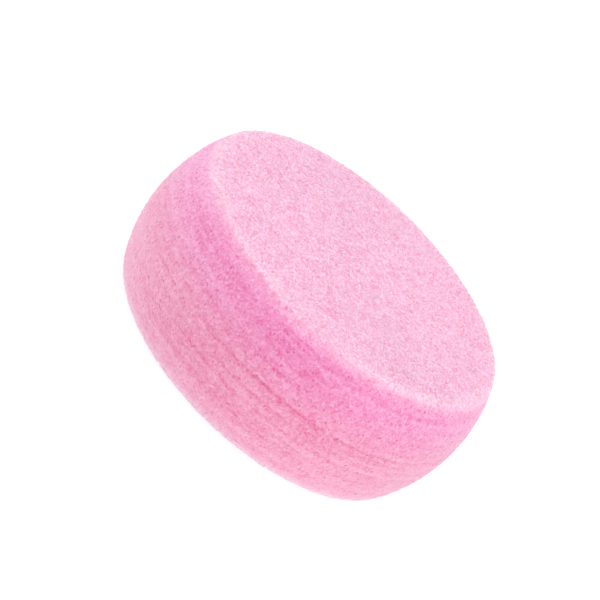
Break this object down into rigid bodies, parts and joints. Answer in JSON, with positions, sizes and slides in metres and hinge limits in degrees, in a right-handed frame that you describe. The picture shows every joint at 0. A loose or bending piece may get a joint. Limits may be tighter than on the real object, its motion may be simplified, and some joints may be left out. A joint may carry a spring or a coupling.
{
  "type": "round foam pad",
  "caption": "Solid round disc of fine open-cell foam with two flat faces and a bulging side wall, held in the fingers or rolled against hair and skin.",
  "frame": {"origin": "centre of the lower flat face, on which the disc rests", "axes": "+Z along the disc's axis of revolution, out of the upper flat face; X and Y are any two radii"},
  "size_m": [0.07, 0.07, 0.0264],
  "materials": {
    "foam": "matte"
  },
  "bodies": {
    "root": {"foam_disc": "foam"}
  },
  "joints": []
}
